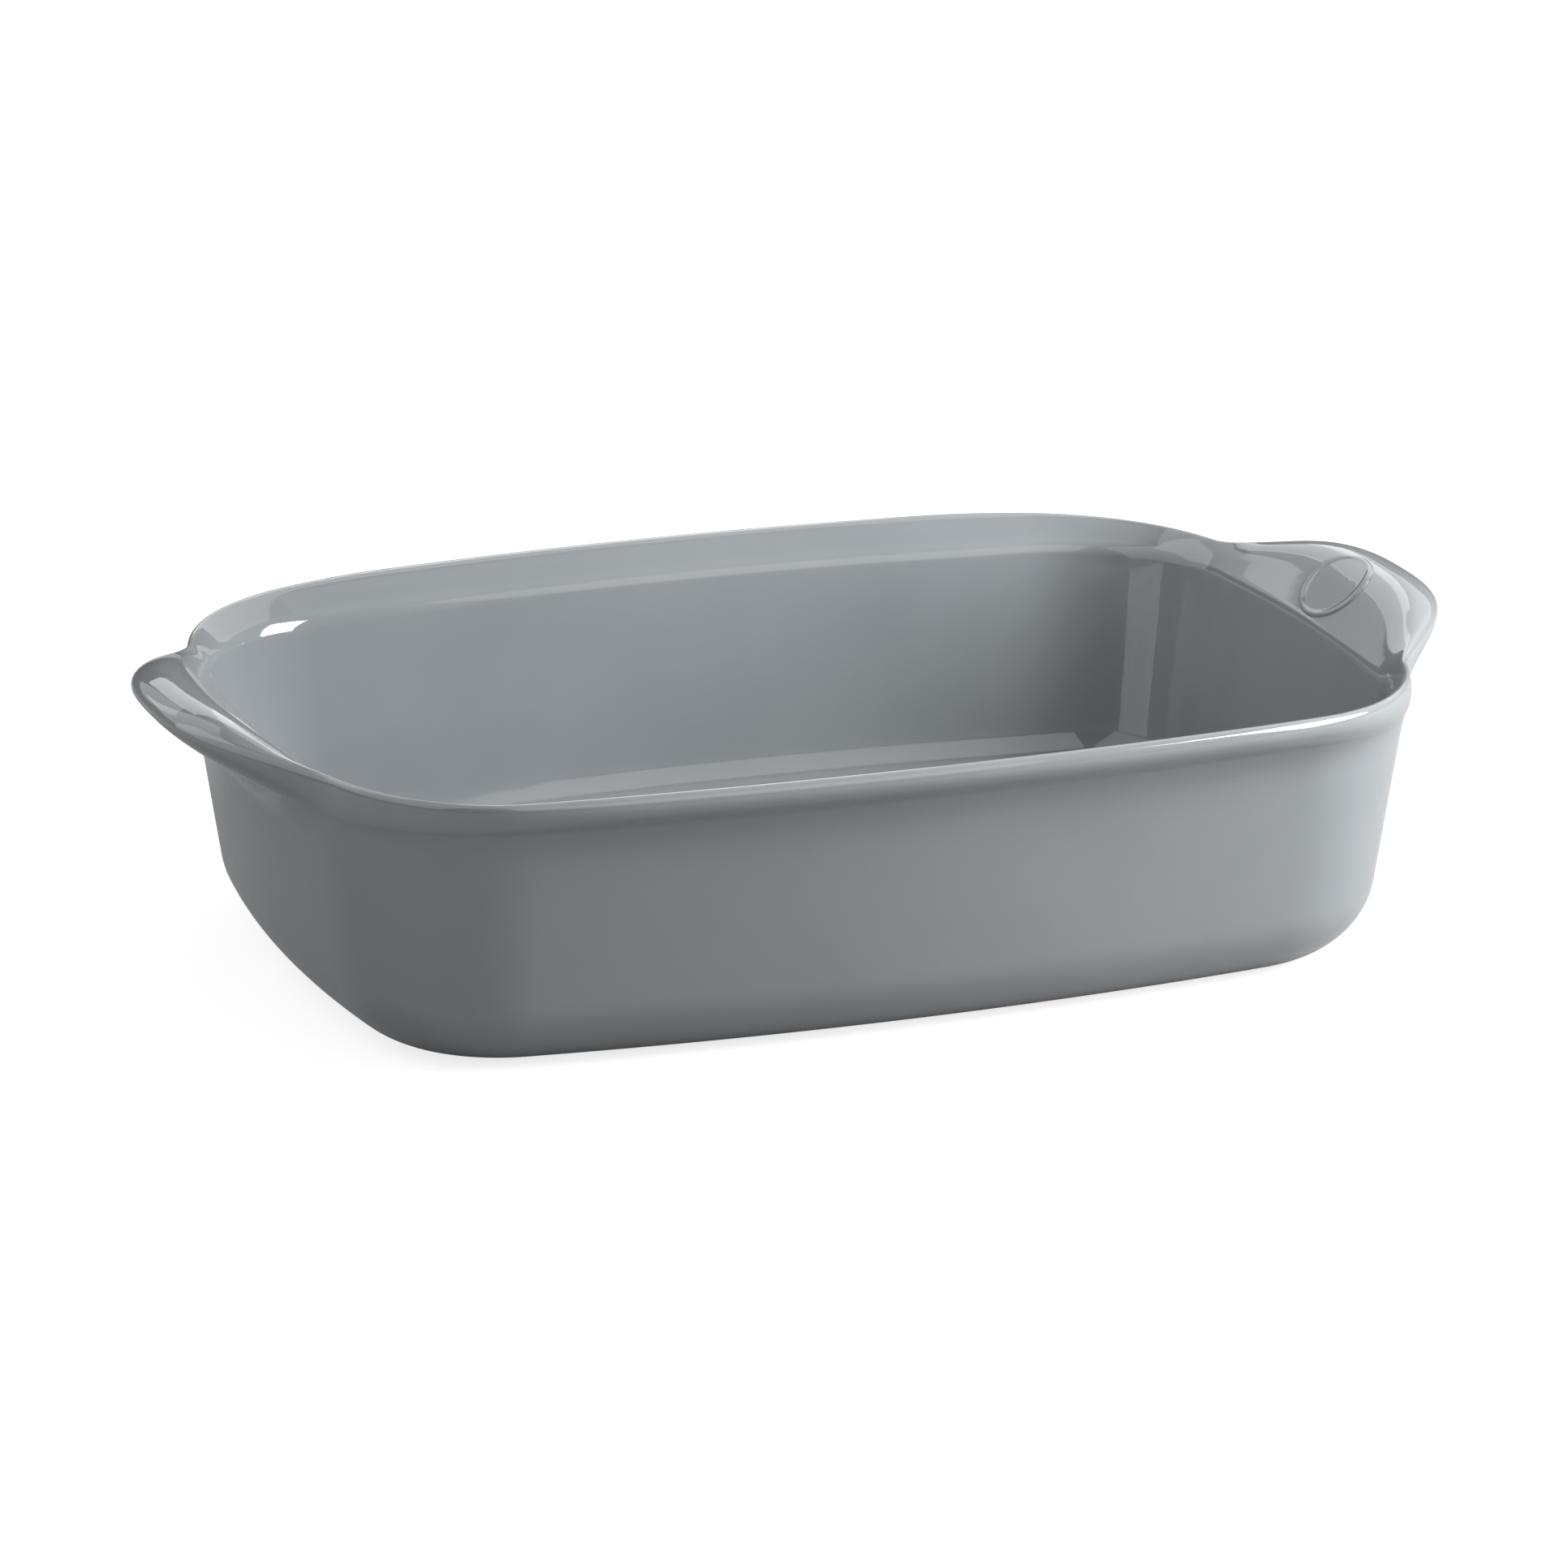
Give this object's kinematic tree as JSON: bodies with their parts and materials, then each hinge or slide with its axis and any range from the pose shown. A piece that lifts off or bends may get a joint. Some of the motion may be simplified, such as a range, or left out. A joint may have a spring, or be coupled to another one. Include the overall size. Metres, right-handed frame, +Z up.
{
  "type": "roasting dish",
  "caption": "Deep rectangular ceramic roasting dish with rounded corners, a rolled rim and a raised, flared handle at each short end.",
  "frame": {"origin": "under the middle of the foot, on the surface that the dish stands on", "axes": "+X along the length towards one handle, +Y across the width, +Z up out of the dish"},
  "size_m": [0.3662, 0.2378, 0.0868],
  "materials": {
    "clay": "bare fired clay, matt",
    "glaze": "cool grey glossy glaze"
  },
  "bodies": {
    "root": {"clay_body": "clay", "glaze_coat": "glaze"}
  },
  "joints": []
}
